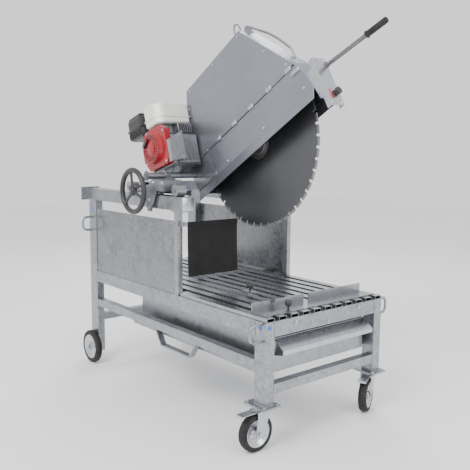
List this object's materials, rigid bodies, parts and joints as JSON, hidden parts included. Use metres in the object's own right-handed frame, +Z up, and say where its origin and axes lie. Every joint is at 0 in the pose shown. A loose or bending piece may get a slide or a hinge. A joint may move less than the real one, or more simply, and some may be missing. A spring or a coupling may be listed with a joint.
{
  "type": "masonry_saw",
  "caption": "Wheeled masonry saw with a slatted cutting table, water tray, sliding handwheel carriage and a tilting head with hooded blade and petrol engine",
  "frame": {"origin": "middle of the machine's box, on the floor under its wheels", "axes": "+X towards the operator's end with the castors and the feed handle, +Y to the far side with the belt cover, +Z up"},
  "size_m": [2.2544, 1.1086, 2.2426],
  "materials": {
    "galvanised_tube": "hot-dip galvanised, satin with spangle",
    "galvanised_sheet": "galvanised sheet, smooth satin",
    "bright_zinc": "bright zinc plate",
    "steel": "machined steel",
    "blade_steel": "dark saw blade steel",
    "rubber": "black rubber, matt",
    "black_plastic": "black moulded plastic",
    "red_paint": "red gloss paint",
    "tank_paint": "off-white gloss paint",
    "cast_aluminium": "die-cast aluminium"
  },
  "bodies": {
    "frame": {"front_leg_near": "galvanised_tube", "front_leg_far": "galvanised_tube", "rear_leg_near": "galvanised_tube", "rear_leg_far": "galvanised_tube", "side_rail_near": "galvanised_tube", "side_rail_far": "galvanised_tube", "lower_rail_near": "galvanised_tube", "lower_rail_far": "galvanised_tube", "beam_near": "galvanised_tube", "beam_far": "galvanised_tube", "splash_panel_near": "galvanised_sheet", "splash_panel_far": "galvanised_sheet", "front_upper_crossbar": "galvanised_tube", "front_lower_crossbar": "galvanised_tube", "rear_upper_crossbar": "galvanised_tube", "rear_lower_crossbar": "galvanised_tube", "table_grid": "galvanised_tube"},
    "curtain": {"rubber_curtain": "rubber"},
    "tray": {"water_tray": "galvanised_sheet", "drip_shelf": "bright_zinc"},
    "fence_slide": {"fence": "bright_zinc"},
    "fence_knob_turn": {"fence_knob": "black_plastic"},
    "stop_slide": {"table_stop": "bright_zinc"},
    "stop_knob_turn": {"stop_knob": "black_plastic"},
    "carriage": {"carriage_frame": "galvanised_sheet"},
    "handwheel_set": {"handwheel": "black_plastic", "handwheel_shaft": "steel"},
    "head": {"head_frame": "galvanised_tube", "guard_body": "galvanised_sheet", "guard_cover": "galvanised_sheet", "belt_cover": "galvanised_sheet", "drive_belt": "rubber", "engine_block": "cast_aluminium", "fan_cover": "red_paint", "fuel_tank": "tank_paint", "air_filter": "black_plastic", "muffler": "steel", "console": "bright_zinc", "handle_grip": "rubber"},
    "blade_set": {"blade_shaft": "steel", "blade": "blade_steel", "blade_nut": "steel"},
    "crank": {"engine_shaft": "steel"},
    "door": {"guard_door": "galvanised_sheet"},
    "latch": {"guard_latch": "bright_zinc"},
    "recoil": {"recoil_handle": "black_plastic"},
    "cap": {"fuel_cap": "black_plastic"},
    "button": {"stop_button": "black_plastic"},
    "castor_near": {"castor_fork_near": "bright_zinc"},
    "castor_hub_near": {"castor_wheel_near": "rubber"},
    "pedal_near": {"brake_pedal_near": "bright_zinc"},
    "rear_hub_near": {"rear_wheel_near": "rubber"},
    "castor_far": {"castor_fork_far": "bright_zinc"},
    "castor_hub_far": {"castor_wheel_far": "rubber"},
    "pedal_far": {"brake_pedal_far": "bright_zinc"},
    "rear_hub_far": {"rear_wheel_far": "rubber"},
    "roller_front_near_hub": {"roller_front_near": "steel"},
    "roller_rear_near_hub": {"roller_rear_near": "steel"},
    "roller_front_far_hub": {"roller_front_far": "steel"},
    "roller_rear_far_hub": {"roller_rear_far": "steel"}
  },
  "joints": [
    {"name": "castor_swivel_near", "type": "hinge", "parent": "frame", "child": "castor_near", "pos_m": [0.74782, -0.40029, 0], "axis": [0, 0, 1], "continuous": true},
    {"name": "castor_roll_near", "type": "hinge", "parent": "castor_near", "child": "castor_hub_near", "pos_m": [0.74782, -0.44529, 0.1], "axis": [1, 0, 0], "continuous": true},
    {"name": "brake_near", "type": "hinge", "parent": "castor_near", "child": "pedal_near", "pos_m": [0.74782, -0.45829, 0.2137], "axis": [1, 0, 0], "range_deg": [0, 12]},
    {"name": "rear_roll_near", "type": "hinge", "parent": "frame", "child": "rear_hub_near", "pos_m": [-1.01218, -0.45429, 0.115], "axis": [0, 1, 0], "continuous": true},
    {"name": "castor_swivel_far", "type": "hinge", "parent": "frame", "child": "castor_far", "pos_m": [0.74782, 0.43971, 0], "axis": [0, 0, 1], "continuous": true},
    {"name": "castor_roll_far", "type": "hinge", "parent": "castor_far", "child": "castor_hub_far", "pos_m": [0.76683, 0.39892, 0.1], "axis": [0.9063, 0.4226, 0], "continuous": true},
    {"name": "brake_far", "type": "hinge", "parent": "castor_far", "child": "pedal_far", "pos_m": [0.77233, 0.38714, 0.2137], "axis": [0.9063, 0.4226, 0], "range_deg": [0, 12]},
    {"name": "rear_roll_far", "type": "hinge", "parent": "frame", "child": "rear_hub_far", "pos_m": [-1.01218, 0.49371, 0.115], "axis": [0, 1, 0], "continuous": true},
    {"name": "carriage_slide", "type": "slide", "parent": "frame", "child": "carriage", "axis": [1, 0, 0], "range_m": [-0.5, 0.06]},
    {"name": "roller_front_near_spin", "type": "hinge", "parent": "carriage", "child": "roller_front_near_hub", "pos_m": [-0.00418, -0.39029, 1.2793], "axis": [0, 1, 0], "continuous": true},
    {"name": "roller_rear_near_spin", "type": "hinge", "parent": "carriage", "child": "roller_rear_near_hub", "pos_m": [-0.52418, -0.39029, 1.2793], "axis": [0, 1, 0], "continuous": true},
    {"name": "roller_front_far_spin", "type": "hinge", "parent": "carriage", "child": "roller_front_far_hub", "pos_m": [-0.00418, 0.42971, 1.2793], "axis": [0, 1, 0], "continuous": true},
    {"name": "roller_rear_far_spin", "type": "hinge", "parent": "carriage", "child": "roller_rear_far_hub", "pos_m": [-0.52418, 0.42971, 1.2793], "axis": [0, 1, 0], "continuous": true},
    {"name": "handwheel_spin", "type": "hinge", "parent": "carriage", "child": "handwheel_set", "pos_m": [-0.28718, 0.01971, 1.266], "axis": [0, 1, 0], "continuous": true},
    {"name": "head_tilt", "type": "hinge", "parent": "carriage", "child": "head", "pos_m": [-0.26418, -0.01129, 1.355], "axis": [0, 1, 0], "range_deg": [0, 38]},
    {"name": "blade_spin", "type": "hinge", "parent": "head", "child": "blade_set", "pos_m": [0.24744, -0.01129, 1.55392], "axis": [0, 1, 0], "continuous": true},
    {"name": "engine_spin", "type": "hinge", "parent": "head", "child": "crank", "pos_m": [-0.33761, -0.01129, 1.52204], "axis": [0, 1, 0], "continuous": true},
    {"name": "door_hinge", "type": "hinge", "parent": "head", "child": "door", "pos_m": [-0.29534, -0.09359, 1.40686], "axis": [-0.8572, 0, -0.515], "range_deg": [0, 100]},
    {"name": "latch_turn", "type": "hinge", "parent": "door", "child": "latch", "pos_m": [0.61165, -0.08989, 1.90692], "axis": [0, 1, 0], "range_deg": [0, 90]},
    {"name": "recoil_pull", "type": "slide", "parent": "head", "child": "recoil", "axis": [0, -1, 0], "range_m": [0, 0.35], "stiffness_N_per_m": 40, "springref_m": -0.05},
    {"name": "cap_turn", "type": "hinge", "parent": "head", "child": "cap", "pos_m": [-0.42941, -0.21129, 1.78813], "axis": [-0.2924, 0, 0.9563], "range_deg": [0, 90]},
    {"name": "button_press", "type": "slide", "parent": "head", "child": "button", "axis": [-0.8572, 0, -0.515], "range_m": [0, 0.004], "stiffness_N_per_m": 1500, "springref_m": -0.001},
    {"name": "curtain_swing", "type": "hinge", "parent": "frame", "child": "curtain", "pos_m": [0.07782, 0.01971, 1.0827], "axis": [0, 1, 0], "range_deg": [-20, 40]},
    {"name": "tray_slide", "type": "slide", "parent": "frame", "child": "tray", "axis": [1, 0, 0], "range_m": [0, 0.6]},
    {"name": "fence_move", "type": "slide", "parent": "frame", "child": "fence_slide", "axis": [1, 0, 0], "range_m": [-0.15, 0.03]},
    {"name": "fence_knob_spin", "type": "hinge", "parent": "fence_slide", "child": "fence_knob_turn", "pos_m": [0.72282, -0.20529, 0.6959], "axis": [0, 0, 1], "continuous": true},
    {"name": "stop_move", "type": "slide", "parent": "frame", "child": "stop_slide", "axis": [1, 0, 0], "range_m": [-0.1, 0.25]},
    {"name": "stop_knob_spin", "type": "hinge", "parent": "stop_slide", "child": "stop_knob_turn", "pos_m": [0.29782, -0.10029, 0.7029], "axis": [0, 0, 1], "continuous": true}
  ],
  "couplings": [
    {"joint": "handwheel_spin", "follows": "carriage_slide", "rad_per_m": 25},
    {"joint": "engine_spin", "follows": "blade_spin", "ratio": 1.8},
    {"joint": "roller_front_near_spin", "follows": "carriage_slide", "rad_per_m": 28.571},
    {"joint": "roller_rear_near_spin", "follows": "carriage_slide", "rad_per_m": 28.571},
    {"joint": "roller_front_far_spin", "follows": "carriage_slide", "rad_per_m": 28.571},
    {"joint": "roller_rear_far_spin", "follows": "carriage_slide", "rad_per_m": 28.571}
  ]
}
